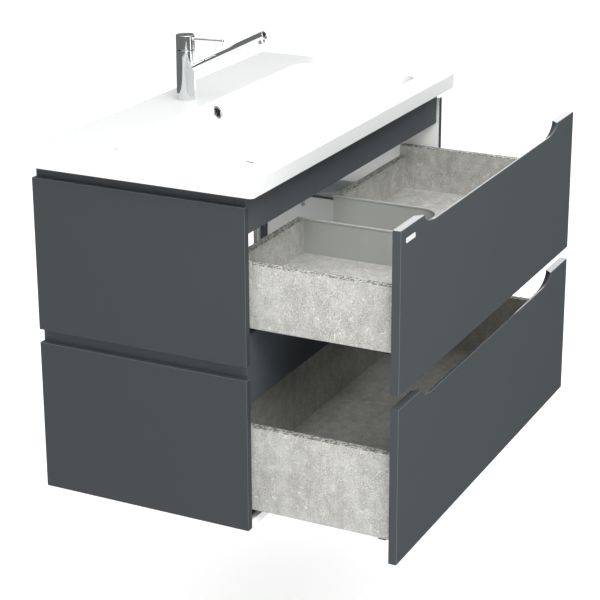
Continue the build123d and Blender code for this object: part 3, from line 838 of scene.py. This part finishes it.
@dataclass
class Basin:
    """The ceramic basin, one closed shell of rounded rectangles.

    Attributes:
        bowl_half: Half the bowl's rim in X and Y.
        bowl_y: The bowl's middle.
        bowl_corner: The rim's corner radius.
        lean: How far the wall runs in from rim to floor.
        wall: Thickness under the bowl.
        front_corner: Radius of the slab's front corners in plan.
        waste_y: Middle of the waste hole.
        waste_r: Its radius.
    """

    bowl_half: tuple[float, float] = (0.430, 0.1515)
    bowl_y: float = -0.2905
    bowl_corner: float = 0.045
    lean: float = 0.050
    wall: float = 0.013
    front_corner: float = 0.012
    waste_y: float = -0.253
    waste_r: float = 0.0225

    def bowl_row(self, inset: float, z: float) -> np.ndarray:
        """One ring of the bowl, inset from the rim line."""
        half = (self.bowl_half[0] - inset, self.bowl_half[1] - inset)
        radius = max(self.bowl_corner + 0.4 * inset, 0.02)
        flat = rounded_ring((0.0, self.bowl_y), half, (radius, radius))
        return np.column_stack([flat, np.full(len(flat), z)])

    def slab_row(self, inset: float, z: float, low: Sequence[float], high: Sequence[float]) -> np.ndarray:
        """One ring of the slab's outside, inset from its edge."""
        middle = (0.0, (low[1] + high[1]) / 2)
        half = (high[0] - inset, (high[1] - low[1]) / 2 - inset)
        radii = (max(0.0015 - inset, 0.0004), max(self.front_corner - inset, 0.002))
        flat = rounded_ring(middle, half, radii)
        return np.column_stack([flat, np.full(len(flat), z)])

    def waste_row(self, z: float) -> np.ndarray:
        """One ring of the waste hole, nearly round."""
        radius = self.waste_r
        flat = rounded_ring((0.0, self.waste_y), (radius, radius), (0.9 * radius, 0.9 * radius))
        return np.column_stack([flat, np.full(len(flat), z)])

    def shell(self) -> bpy.types.Object:
        """The slab and bowl: profile rings from the waste hole up, over the deck, down and back."""
        low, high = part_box("basin")
        top, floor = high[2], low[2] + self.wall
        slab_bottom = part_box("front_top_rail")[1][2]
        inside = rounded(
            [(0.085, floor), (self.lean, floor + 0.002, 0.034), (0.0, top, 0.006), (-0.012, top)], 8
        )
        outside = rounded(
            [(0.030, top), (0.0, top, 0.004), (0.0, slab_bottom, 0.002), (0.012, slab_bottom)], 5
        )
        under_run = self.lean * (top - slab_bottom) / (top - floor) - self.wall
        under = rounded([
            (under_run - 0.020, slab_bottom), (under_run, slab_bottom, 0.004),
            (self.lean - 0.007, low[2], 0.030), (0.085, low[2]),
        ], 6)
        rows = [self.waste_row(low[2]), self.waste_row(floor)]
        rows += [self.bowl_row(inset, z) for inset, z in inside]
        rows += [self.slab_row(inset, z, low, high) for inset, z in outside]
        rows += [self.bowl_row(inset, z) for inset, z in under]
        return loft("basin_shell", np.array(rows), ring=True)

    def overflow_axis(self) -> tuple[np.ndarray, np.ndarray]:
        """A point on the bowl's rear wall and the way out of the overflow hole."""
        low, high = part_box("overflow_ring")
        middle = (np.array(low) + np.array(high)) / 2
        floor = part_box("basin")[0][2] + self.wall
        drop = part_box("basin")[1][2] - floor
        outward = np.array([0.0, -drop, self.lean])
        outward /= np.linalg.norm(outward)
        return middle, outward

    def build(self) -> None:
        """The shell with its overflow hole, the chrome ring and a near-black disc down the hole as painted
        shade.
        """
        shell = self.shell()
        middle, outward = self.overflow_axis()
        throat = lathe("throat_cutter", middle, outward, np.array([[-0.012, 0.0118], [0.010, 0.0118]]), 48)
        cut = shell.modifiers.new("overflow", "BOOLEAN")
        cut.operation, cut.solver, cut.object = "DIFFERENCE", "EXACT", throat
        with bpy.context.temp_override(object=shell, active_object=shell):
            bpy.ops.object.modifier_apply(modifier=cut.name)
        bpy.data.objects.remove(throat)
        shell.data.set_sharp_from_angle(angle=math.radians(38.0))
        fit_piece(shell, Glaze("white_glaze"), "carcass", ("basin",))
        self.overflow(middle, outward)

    def overflow(self, middle: np.ndarray, outward: np.ndarray) -> None:
        """The pressed ring: a flat collar with a rounded lip and a sleeve into the hole; then a near-black
        disc down the hole, painted shade.
        """
        base = 3.5 * MM
        profile = rounded([
            (base - 9.0 * MM, 11.6 * MM), (base + 0.1 * MM, 11.6 * MM, 0.2 * MM),
            (base + 0.1 * MM, 15.2 * MM, 0.2 * MM), (base + 1.8 * MM, 14.4 * MM, 0.7 * MM),
            (base + 1.5 * MM, 10.9 * MM, 0.7 * MM), (base - 9.0 * MM, 10.6 * MM),
        ], 4, 0.1 * MM)
        ring = lathe("overflow_collar", middle, outward, profile, 64, ring=True)
        fit_piece(ring, CHROME, "carcass", ("overflow_ring",))
        # Painted shade: a near-black disc down the overflow hole stands in for its dark inside.
        disc = np.array([[-7.5 * MM, 10.7 * MM], [-6.5 * MM, 10.7 * MM]])
        plug = lathe("overflow_shade_disc", middle, outward, disc, 48)
        fit_piece(plug, THROAT_SHADE, "carcass")


@dataclass
class Mixer:
    """The single-lever pillar mixer, turned and drawn pieces round the axes of its CAD nodes.

    Attributes:
        finish: The finish of its polished pieces.
        rise_deg: How steeply the spout rises.
        root: Radius of the spout at the body.
        mouth: Radius of its outer stretch.
        widening: Where it widens, as shares of its reach.
        lever_deg: How steeply the lever rises.
        lever_r: Radius of the lever.
    """

    finish: Finish = CHROME
    rise_deg: float = 26.5
    root: float = 6.8 * MM
    mouth: float = 9.3 * MM
    widening: tuple[float, float] = (0.56, 0.66)
    lever_deg: float = 1.5
    lever_r: float = 2.6 * MM

    def forward(self, rise_deg: float) -> np.ndarray:
        """The direction towards the front that rises by an angle."""
        rise = math.radians(rise_deg)
        return np.array([0.0, -math.cos(rise), math.sin(rise)])

    def body(self) -> None:
        """A slightly tapered pillar with a foot ring, a soft shoulder and the stem's bore."""
        low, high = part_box("tap_body")
        tall, wide = high[2] - low[2], high[0]
        narrow = wide - math.tan(math.radians(0.4)) * tall
        profile = rounded([
            (0.0, wide - 0.1 * MM), (0.0, wide, 0.05 * MM), (0.012 * tall, wide, 0.3 * MM),
            (tall, narrow, 0.8 * MM), (tall, 0.57 * wide, 0.3 * MM), (tall - 21 * MM, 0.57 * wide),
        ], 5, 0.2 * MM)
        pillar = lathe("mixer_body", (0.0, (low[1] + high[1]) / 2, low[2]), (0, 0, 1), profile, 96)
        fit_piece(pillar, self.finish, "carcass", ("tap_body",))

    def cap(self) -> None:
        """A hollow cap with rounded rims and a shallow dish in its top."""
        low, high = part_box("tap_cap")
        tall, wide = high[2] - low[2], high[0]
        profile = rounded([
            (tall - 4 * MM, 17.2 * MM), (0.0, 17.2 * MM, 0.3 * MM), (0.0, wide, 0.6 * MM),
            (tall, wide, 1.4 * MM), (tall, wide - 2.4 * MM, 0.5 * MM),
            (tall - 0.5 * MM, wide - 3.4 * MM, 0.6 * MM), (tall - 0.6 * MM, 4 * MM),
        ], 5, 0.15 * MM)
        middle = (0.0, (low[1] + high[1]) / 2, low[2])
        piece = lathe("mixer_cap", middle, (0, 0, 1), profile, 96)
        fit_piece(piece, self.finish, "tap_handle", ("tap_cap",))

    def lever(self) -> None:
        """A thin rod with a screwed-in boss at the cap and a rounded grip at its end."""
        cap_low, cap_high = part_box("tap_cap")
        low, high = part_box("tap_lever")
        way = self.forward(self.lever_deg)
        grip = (high[0] - low[0]) / 2
        axis_z = low[2] + grip + 0.02 * MM
        start = np.array([0.0, cap_low[1] + 1.5 * MM, axis_z])
        reach = (start[1] - low[1]) / -way[1]
        rod = self.lever_r
        profile = rounded([
            (0.0, rod + 1.3 * MM), (2.6 * MM, rod + 1.3 * MM, 0.5 * MM), (3.0 * MM, rod, 0.3 * MM),
            (reach - 8.3 * MM, rod, 0.3 * MM), (reach - 8.0 * MM, grip, 0.4 * MM),
            (reach, grip, 0.9 * MM), (reach, 0.6 * grip),
        ], 4, 0.1 * MM)
        piece = lathe("mixer_lever", start, way, profile, 32)
        fit_piece(piece, self.finish, "tap_handle", ("tap_lever",))

    def spout(self) -> None:
        """A tube that widens in its outer part and ends in a recessed plug."""
        body_low, body_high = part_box("tap_body")
        low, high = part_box("tap_spout")
        way = self.forward(self.rise_deg)
        axis_y = (body_low[1] + body_high[1]) / 2
        over = self.mouth * way[1]
        reach = (low[1] + self.mouth * way[2] - axis_y) / way[1]
        start = np.array([0.0, axis_y, high[2] + over - reach * way[2]])
        narrow_end, wide_start = (share * reach for share in self.widening)
        profile = rounded([
            (0.6 * self.root, self.root), (narrow_end, self.root, 60 * MM),
            (wide_start, self.mouth, 60 * MM), (reach, self.mouth, 0.7 * MM),
            (reach, self.mouth - 2.3 * MM, 0.4 * MM), (reach - 5.6 * MM, self.mouth - 2.3 * MM),
        ], 8, 0.2 * MM)
        piece = lathe("mixer_spout", start, way, profile, 64)
        fit_piece(piece, self.finish, "carcass", ("tap_spout",))
        end = start + (reach - 5.9 * MM) * way
        button = rounded(
            [(0.0, 5.6 * MM), (1.8 * MM, 5.6 * MM, 0.5 * MM), (2.2 * MM, 1.2 * MM)], 4, 0.1 * MM
        )
        fit_piece(lathe("spout_plug", end, way, button, 40), DARK_STEEL, "carcass")
        self.aerator(start + (reach - 13 * MM) * way, way)

    def aerator(self, middle: np.ndarray, way: np.ndarray) -> None:
        """The aerator's ring under the spout's end and its sieve."""
        down = np.array([0.0, -way[2], way[1]])
        ring = rounded([
            (self.mouth - 2.5 * MM, 7.4 * MM), (self.mouth + 5.0 * MM, 7.4 * MM, 0.7 * MM),
            (self.mouth + 5.0 * MM, 5.8 * MM, 0.5 * MM), (self.mouth + 2.4 * MM, 5.6 * MM, 0.2 * MM),
            (self.mouth + 2.4 * MM, 1.0 * MM),
        ], 4, 0.1 * MM)
        piece = lathe("mixer_aerator", middle, down, ring, 48)
        fit_piece(piece, SCREW_STEEL, "carcass", ("tap_aerator",))
        bars = []
        for turn in range(3):
            radius = (1.5 + 1.5 * turn) * MM
            height = self.mouth + 3.0 * MM
            wire = lathe_ring("sieve", middle + height * down, down, radius, 0.35 * MM)
            bars.append(wire)
        fit_piece(joined("aerator_sieve", bars), DARK_STEEL, "carcass")

    def build(self) -> None:
        """Build the polished pieces, dress the stem and model the fixing under the deck."""
        self.body()
        self.cap()
        self.lever()
        self.spout()
        dress_node("tap_stem", BRASS)
        low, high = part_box("tap_shank")
        middle = ((low[0] + high[0]) / 2, (low[1] + high[1]) / 2)
        thread = threaded("tap_thread", middle, (low[2], high[2]), high[0], 1.6 * MM, 11 * MM)
        fit_piece(thread, BRASS, "carcass", ("tap_shank",))
        low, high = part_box("tap_nut")
        top = high[2]
        washer = rounded(
            [(0.0, 15.4 * MM), (0.0, 27 * MM, 0.3 * MM), (2 * MM, 27 * MM, 0.3 * MM), (2 * MM, 15.4 * MM)],
            3,
            0.1 * MM,
        )
        ring = lathe("tap_washer", (*middle, top), (0, 0, -1), washer, 64, ring=True)
        hexagon = nut("tap_hex", (*middle, top - 2 * MM), (0, 0, -1), 9 * MM, 6, 20.8 * MM, 15.4 * MM)
        fit_piece(joined("tap_lock_nut", [ring, hexagon]), BRASS, "carcass", ("tap_nut",))


@dataclass
class Waste:
    """The waste, its plug and the bottle trap, all turned about upright and level axes.

    Attributes:
        finish: The finish of its polished pieces.
        pipe: Radius of the pipes.
    """

    finish: Finish = CHROME
    pipe: float = 16.0 * MM

    def upright(self, node: str) -> tuple[float, float]:
        """The X and Y of a node's upright axis."""
        low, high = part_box(node)
        return 0.0, (low[1] + high[1]) / 2

    def turned(
        self, name: str, node: str, corners: Sequence[Sequence[float]], ring: bool = False
    ) -> bpy.types.Object:
        """A piece turned about a node's upright axis; corners give height and radius."""
        profile = rounded(corners, 5, 0.2 * MM)
        return lathe(name, (*self.upright(node), 0.0), (0, 0, 1), profile, 64, ring)

    def drain(self) -> None:
        """The flanged waste body, and the plug with its glazed cap."""
        low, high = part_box("waste_body")
        flange, barrel = high[0], 22.5 * MM
        seat = high[2] - 2.5 * MM
        body = self.turned(
            "waste_barrel",
            "waste_body",
            [
                (low[2], 18.5 * MM), (low[2], barrel, 0.5 * MM),
                (seat, barrel, 0.4 * MM), (seat, flange, 0.3 * MM),
                (high[2], flange - 0.5 * MM, 1.2 * MM), (high[2] - 1.0 * MM, 20.5 * MM, 1.0 * MM),
                (high[2] - 6 * MM, 18.5 * MM, 1.0 * MM), (low[2], 18.5 * MM),
            ],
            ring=True,
        )
        fit_piece(body, self.finish, "carcass", ("waste_body",))
        low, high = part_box("waste_plug")
        under = high[2] - 4.5 * MM
        stem = self.turned(
            "plug_stem",
            "waste_plug",
            [
                (low[2], 2.6 * MM), (low[2], 4 * MM, 1 * MM),
                (under - 6 * MM, 4 * MM, 1.5 * MM), (under, 12 * MM, 1.5 * MM),
                (under, 29 * MM, 0.3 * MM), (under + 1 * MM, 30 * MM),
            ],
        )
        fit_piece(stem, self.finish, "plug", ("waste_plug",))
        dome = self.turned(
            "plug_cap",
            "waste_plug",
            [
                (under + 0.4 * MM, 29 * MM), (under + 0.4 * MM, 31.6 * MM, 0.6 * MM),
                (high[2] - 1.2 * MM, 31.6 * MM, 1.6 * MM), (high[2], 24 * MM, 30 * MM),
                (high[2] + 0.3 * MM, 3 * MM),
            ],
        )
        fit_piece(dome, Glaze("white_glaze"), "plug")

    def trap(self) -> None:
        """Tail pipe, trap head with its side outlet, ribbed cup and the slip nuts."""
        low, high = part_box("tail_pipe")
        tail = self.turned(
            "trap_tail",
            "tail_pipe",
            [
                (low[2], self.pipe - 1.5 * MM), (low[2], self.pipe, 0.4 * MM),
                (high[2], self.pipe, 0.4 * MM), (high[2], self.pipe - 1.5 * MM, 0.4 * MM),
                (low[2], self.pipe - 1.5 * MM),
            ],
            ring=True,
        )
        fit_piece(tail, self.finish, "carcass", ("tail_pipe",))
        low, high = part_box("trap_head")
        wide = high[0]
        head = self.turned(
            "trap_dome",
            "trap_cup",
            [
                (low[2], 22 * MM), (low[2], wide, 0.6 * MM), (high[2] - 12 * MM, wide, 3 * MM),
                (high[2], wide - 5 * MM, 6 * MM), (high[2], self.pipe),
            ],
        )
        x, y = self.upright("trap_cup")
        outlet_low, outlet_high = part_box("outlet_pipe")
        level = (outlet_low[2] + outlet_high[2]) / 2
        end = high[1] - y
        stub = rounded([
            (12 * MM, 19 * MM), (end - 3 * MM, 19 * MM, 1 * MM), (end, 18 * MM, 0.5 * MM), (end, 16 * MM),
        ], 4, 0.2 * MM)
        branch = lathe("trap_branch", (x, y, level), (0, 1, 0), stub, 48)
        fit_piece(joined("trap_top", [head, branch]), self.finish, "carcass", ("trap_head",))
        low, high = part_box("trap_cup")
        bottom, top = low[2], high[2]
        cup = self.turned(
            "trap_bottle",
            "trap_cup",
            [
                (top, 22 * MM), (top, 33.5 * MM, 0.8 * MM), (top - 10 * MM, 33.5 * MM, 0.8 * MM),
                (top - 10 * MM, 31 * MM, 0.5 * MM), (bottom + 15 * MM, 31 * MM, 6 * MM),
                (bottom + 4 * MM, 24 * MM, 9 * MM), (bottom + 1.5 * MM, 12 * MM, 1 * MM),
                (bottom, 10 * MM, 1 * MM), (bottom, 2 * MM),
            ],
        )
        rib = rounded([
            (0.0, 0.5 * MM), (0.6 * MM, 1.1 * MM, 0.4 * MM),
            (7.4 * MM, 1.1 * MM, 0.4 * MM), (8 * MM, 0.5 * MM),
        ], 2, 0.05 * MM)
        grip_ring = 33.0 * MM
        grips = []
        for turn in np.arange(24) * (2 * math.pi / 24):
            spot = (x + grip_ring * math.cos(turn), y + grip_ring * math.sin(turn), top - 9 * MM)
            grips.append(lathe("grip", spot, (0, 0, 1), rib, 8))
        fit_piece(joined("trap_bottle", [cup, *grips]), self.finish, "carcass", ("trap_cup",))
        self.nuts(x, y, level)

    def nuts(self, x: float, y: float, level: float) -> None:
        """The octagonal nuts down the trap and the one on its outlet."""
        low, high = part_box("trap_nuts")
        tail_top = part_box("tail_pipe")[1][2]
        head_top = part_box("trap_head")[1][2]
        branch_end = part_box("trap_head")[1][1]
        up = (0, 0, 1)
        pieces = [
            nut("basin_nut", (x, y, high[2] - 10 * MM), up, 10 * MM, 8, 27.7 * MM, 22.6 * MM),
            nut("tail_nut", (x, y, tail_top - 10 * MM), up, 16 * MM, 8, 24.5 * MM, 16.1 * MM),
            nut("head_nut", (x, y, head_top), up, 12 * MM, 8, 21.2 * MM, 16.1 * MM),
            nut("branch_nut", (x, branch_end, level), (0, 1, 0), 13 * MM, 8, 21.2 * MM, 16.1 * MM),
        ]
        fit_piece(joined("trap_slip_nuts", pieces), self.finish, "carcass", ("trap_nuts",))

    def outlet(self) -> None:
        """The outlet pipe through the wall and its bell-shaped rosette."""
        low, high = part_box("outlet_pipe")
        level = (low[2] + high[2]) / 2
        wall = self.pipe
        run = rounded([
            (low[1], wall - 1.5 * MM), (low[1], wall, 0.3 * MM), (high[1] - 1.0 * MM, wall, 0.5 * MM),
            (high[1], wall - 0.8 * MM, 0.3 * MM), (high[1], wall - 1.5 * MM, 0.2 * MM),
            (low[1], wall - 1.5 * MM),
        ], 3, 0.1 * MM)
        pipe = lathe("outlet_run", (0.0, 0.0, level), (0, 1, 0), run, 64, ring=True)
        fit_piece(pipe, self.finish, "carcass", ("outlet_pipe",))
        low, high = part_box("wall_rosette")
        wide, front = high[0], low[1]
        bell = rounded([
            (-0.2 * MM, wall + 0.1 * MM), (-0.2 * MM, wide, 0.1 * MM), (-2.0 * MM, wide, 0.9 * MM),
            (-8.0 * MM, 0.78 * wide, 9 * MM), (front + 1 * MM, 0.62 * wide, 6 * MM),
            (front, wall + 1.4 * MM, 1.2 * MM), (front, wall + 0.1 * MM),
        ], 6, 0.1 * MM)
        rosette = lathe("wall_bell", (0.0, 0.0, level), (0, 1, 0), bell, 72, ring=True)
        fit_piece(rosette, self.finish, "carcass", ("wall_rosette",))

    def build(self) -> None:
        """Build the waste from the basin down to the wall."""
        self.drain()
        self.trap()
        self.outlet()


@dataclass
class Guard:
    """The bent plastic guard that keeps the drawer's cut-out clear for the trap.

    Attributes:
        thick: Thickness of its wall.
        corner: Radius of its two bends.
        finish: Its finish.
    """

    thick: float = 3.0 * MM
    corner: float = 53.0 * MM
    finish: Finish = GUARD_PLASTIC

    def path(self, inset: float) -> np.ndarray:
        """The U in plan, inset from its outer face: back left, round the front, back right."""
        low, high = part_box("siphon_guard")
        half = high[0] - inset
        corners = [
            (-half, high[1]), (-half, low[1] + inset, self.corner - inset),
            (half, low[1] + inset, self.corner - inset), (half, high[1]),
        ]
        return rounded(corners, 24, 1.0 * MM)

    def build(self) -> None:
        """Carry a strip section with a rounded and slightly thicker lip along the U."""
        low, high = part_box("siphon_guard")
        bottom, top = low[2], high[2]
        lip = 1.2 * MM
        section = rounded([
            (0.0, bottom + 20 * MM), (0.0, top - 5 * MM, 1 * MM), (-lip, top - 4 * MM, 1 * MM),
            (-lip, top, 1.6 * MM), (self.thick + lip, top, 1.6 * MM),
            (self.thick + lip, top - 4 * MM, 1 * MM), (self.thick, top - 5 * MM, 1 * MM),
            (self.thick, bottom, 0.5 * MM), (0.0, bottom, 0.5 * MM), (0.0, bottom + 20 * MM),
        ], 4, 0.1 * MM)[:-1]
        outer, inner = self.path(0.0), self.path(self.thick)
        share = (section[:, 0] / self.thick)[None, :, None]
        plan = outer[:, None, :] + (inner - outer)[:, None, :] * share
        height = np.broadcast_to(section[:, 1][None, :, None], (*plan.shape[:2], 1))
        strip = loft("trap_guard", np.concatenate([plan, height], axis=-1), sharp_deg=50.0)
        fit_piece(strip, self.finish, "upper_drawer", ("siphon_guard",))


@dataclass
class Drawer:
    """One drawer: its front, box, runners and clips.

    Attributes:
        level: Which drawer it is.
        decor: The finish of the box boards.
    """

    level: Level
    decor: Finish

    def build(self) -> None:
        """Dress the front, the box and the hardware."""
        name = self.level.value
        dress_node(f"{name}_front", FRONT_GREY)
        backs = ["upper_back_left", "upper_back_right"] if self.level is Level.UPPER else ["lower_back"]
        dress_node(f"{name}_floor", replace(self.decor, name="concrete_floor"))
        for node in [f"{name}_box_left", f"{name}_box_right", *backs]:
            top = round(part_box(node)[1][2], 5)
            dress_node(node, replace(self.decor, name=f"concrete_{abs(round(top / MM))}", edge=top))
        dress_node(f"{name}_clips", BLACK_PLASTIC)
        dress_node(f"{name}_screws", SCREW_STEEL)
        for stage in ("fixed", "middle", "box"):
            dress_node(f"{name}_{stage}_runners", ZINC)


@dataclass
class Studio:
    """Floor, lights and camera.

    Attributes:
        floor_z: Height of the floor.
        eye: The camera's place.
        heading_deg: Its heading from +Y towards +X.
        dip_deg: How far it looks down.
        lens: Focal length in millimetres on a 36 mm sensor.
        shift: The lens shift that the framing needs.
        floor_reach: Half the floor's size.
        flag_reach: Half the floor flag's size.
        flag_y: How far behind the wall plane the wall flag stands.
        flag_low: X and Z of the wall flag's lower left corner.
        flag_high: X and Z of its upper right corner.
    """

    floor_z: float = -1.15
    eye: tuple[float, float, float] = (-3.3211, -2.0118, 1.0375)
    heading_deg: float = 64.067
    dip_deg: float = 18.267
    lens: float = 108.51
    shift: tuple[float, float] = (-0.0333, -0.10)
    floor_reach: float = 40.0
    flag_reach: float = 12.0
    flag_y: float = 0.35
    flag_low: tuple[float, float] = (-3.0, -1.1)
    flag_high: tuple[float, float] = (1.5, 0.9)

    def sheet(self, name: str, corners: Sequence[Sequence[float]], finish: Finish) -> bpy.types.Object:
        """One flat stage piece through four corners."""
        plane = make_mesh(name, np.array(corners, float), [[0, 1, 2, 3]], 30.0)
        plane.data.materials.append(finish.material())
        return plane

    def level_square(self, reach: float, level: float) -> list[tuple[float, float, float]]:
        """Corners of a level square about the origin."""
        return [
            (-reach, -reach, level), (reach, -reach, level),
            (reach, reach, level), (-reach, reach, level),
        ]

    def floor(self) -> None:
        """A wide pale floor."""
        corners = self.level_square(self.floor_reach, self.floor_z)
        plane = self.sheet("stage_floor", corners, StageFloor("stage_floor"))
        if plane.data.polygons[0].normal.z < 0:
            plane.data.flip_normals()

    def flag(self, name: str, corners: Sequence[Sequence[float]]) -> None:
        """A dark flag that is seen only in reflections."""
        card = self.sheet(name, corners, Flag("dark_flag"))
        card.visible_camera = False
        card.visible_diffuse = False
        card.visible_shadow = False

    def softbox(
        self,
        name: str,
        place: tuple[float, float, float],
        target: tuple[float, float, float],
        size: tuple[float, float],
        radiance: float,
        glossy_only: bool = False,
    ) -> None:
        """One rectangular softbox.

        Args:
            name: Its name.
            place: Its middle.
            target: The point that it faces.
            size: Width and height.
            radiance: Its brightness, where white paper in full light is one.
            glossy_only: True where only reflections see it.
        """
        lamp = bpy.data.lights.new(name, "AREA")
        lamp.shape, lamp.size, lamp.size_y = "RECTANGLE", size[0], size[1]
        lamp.energy = radiance * math.pi * size[0] * size[1]
        holder = bpy.data.objects.new(name, lamp)
        holder.location = place
        aim = Vector(target) - holder.location
        holder.rotation_euler = aim.to_track_quat("-Z", "Y").to_euler()
        holder.visible_camera = False
        holder.visible_diffuse = not glossy_only
        bpy.context.scene.collection.objects.link(holder)

    def world(self) -> None:
        """Even white surroundings, brighter overhead."""
        world = bpy.data.worlds.new("studio")
        world.use_nodes = True
        bpy.context.scene.world = world
        g = Graph(world.node_tree)
        direction = g.node("ShaderNodeTexCoord", output="Generated")
        height = g.node("ShaderNodeSeparateXYZ", values={"Vector": direction}, output="Z")
        strength = 0.34 + height.ramp(0.30, 0.95) * 0.9
        shine = g.node("ShaderNodeBackground", values={"Color": (1.0, 1.0, 1.0, 1.0), "Strength": strength})
        g.add("ShaderNodeOutputWorld", values={"Surface": shine})

    def camera(self) -> None:
        """A long lens at the eye, level with its heading and dip."""
        lens = bpy.data.cameras.new("studio_camera")
        lens.sensor_width, lens.lens = 36.0, self.lens
        lens.shift_x, lens.shift_y = self.shift
        lens.clip_start, lens.clip_end = 0.1, 100.0
        camera = bpy.data.objects.new("studio_camera", lens)
        camera.location = self.eye
        camera.rotation_euler = (math.radians(90.0 - self.dip_deg), 0.0, -math.radians(self.heading_deg))
        bpy.context.scene.collection.objects.link(camera)
        bpy.context.scene.camera = camera

    def build(self) -> None:
        """Set the stage."""
        bpy.context.scene.view_settings.view_transform = "Standard"
        self.camera()
        self.floor()
        self.world()
        self.softbox("overhead", (-0.4, -1.3, 3.2), (-0.1, -0.5, 0.0), (3.0, 2.4), 2.0)
        self.softbox("key_light", (-2.3, -2.6, 2.7), (0.0, -0.5, -0.1), (2.6, 2.6), 6.5)
        self.softbox("rim_card", (3.15, 0.40, 1.0), (0.0, -0.8, 0.03), (1.7, 0.9), 2.3, glossy_only=True)
        (left, low), (right, high) = self.flag_low, self.flag_high
        wall = self.flag_y
        self.flag("wall_flag", [
            (left, wall, low), (right, wall, low), (right, wall, high), (left, wall, high),
        ])
        self.flag("floor_flag", self.level_square(self.flag_reach, self.floor_z + 0.01))


def main() -> None:
    """Build the looks in order."""
    logging.basicConfig(level=logging.INFO, format="%(name)s: %(message)s")
    Studio().build()
    Carcass().build()
    Basin().build()
    Mixer().build()
    Waste().build()
    for level in Level:
        Drawer(level, CONCRETE).build()
    Guard().build()
    dress_node("badge", BADGE_SILVER)


if __name__ == "__main__":
    main()
